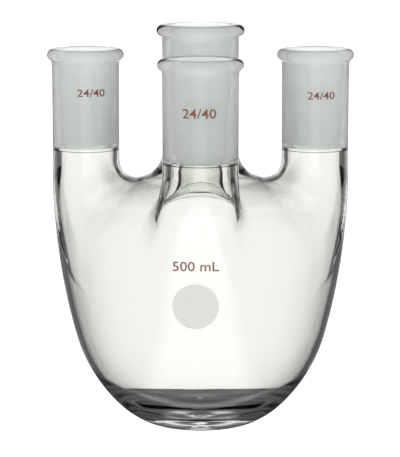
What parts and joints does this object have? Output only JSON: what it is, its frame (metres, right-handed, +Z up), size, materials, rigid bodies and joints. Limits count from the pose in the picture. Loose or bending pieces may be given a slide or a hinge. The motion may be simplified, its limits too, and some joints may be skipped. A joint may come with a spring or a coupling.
{
  "type": "multi-neck round bottom flask",
  "caption": "Blown glass flask with an egg-shaped bulb, a small flat base and upright necks ending in ground taper sockets.",
  "frame": {"origin": "centre of the flat on the bulb's base, on the centre neck's axis", "axes": "+Z up along the centre neck, +X towards the right neck, -Y towards the front neck and the printed marks"},
  "size_m": [0.1264, 0.1215, 0.1678],
  "materials": {
    "clear_glass": "clear borosilicate, fire polished",
    "ground_glass": "borosilicate, ground inside, fire polished outside",
    "brown_enamel": null,
    "pale_enamel": null
  },
  "bodies": {
    "root": {"bulb": "clear_glass", "centre_joint": "ground_glass", "left_joint": "ground_glass", "right_joint": "ground_glass", "front_joint": "ground_glass", "capacity_mark": "brown_enamel", "writing_spot": "pale_enamel", "centre_joint_mark": "brown_enamel", "left_joint_mark": "brown_enamel", "right_joint_mark": "brown_enamel", "front_joint_mark": "brown_enamel"}
  },
  "joints": []
}
